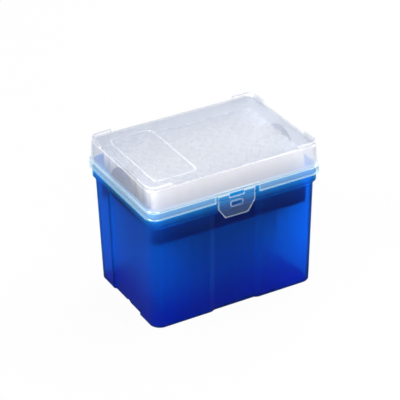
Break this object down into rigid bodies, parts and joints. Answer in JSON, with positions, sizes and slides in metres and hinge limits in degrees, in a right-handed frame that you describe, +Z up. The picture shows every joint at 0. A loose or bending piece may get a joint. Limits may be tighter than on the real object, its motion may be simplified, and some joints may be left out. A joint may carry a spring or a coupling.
{
  "type": "box of pipette tips",
  "caption": "Hinged plastic box with a clear latched lid, a blue tub and a lift-out rack that holds an array of large pipette tips standing upright.",
  "frame": {"origin": "middle of the base's flat bottom face, where the box stands", "axes": "+Z up, +Y from the latch towards the hinge, +X along the long side, to the right when the latch faces the viewer"},
  "size_m": [0.1222, 0.093, 0.1023],
  "materials": {
    "base_blue": "translucent moulded polypropylene, satin",
    "rack_blue": "moulded polypropylene, satin",
    "lid_clear": "frosted clear moulded polypropylene",
    "tip_clear": "natural polypropylene"
  },
  "bodies": {
    "base": {"base_box": "base_blue", "rack": "rack_blue", "tips_column_01": "tip_clear", "tips_column_02": "tip_clear", "tips_column_03": "tip_clear", "tips_column_04": "tip_clear", "tips_column_05": "tip_clear", "tips_column_06": "tip_clear", "tips_column_07": "tip_clear", "tips_column_08": "tip_clear", "tips_column_09": "tip_clear", "tips_column_10": "tip_clear", "tips_column_11": "tip_clear", "tips_column_12": "tip_clear"},
    "lid": {"lid": "lid_clear"},
    "latch": {"front_latch": "lid_clear"}
  },
  "joints": [
    {"name": "lid_hinge", "type": "hinge", "parent": "base", "child": "lid", "pos_m": [0, 0.0466, 0.0804], "axis": [-1, 0, 0], "range_deg": [0, 110]},
    {"name": "latch_hinge", "type": "hinge", "parent": "lid", "child": "latch", "pos_m": [-0.0013, -0.0437, 0.0854], "axis": [-1, 0, 0], "range_deg": [0, 110]}
  ]
}
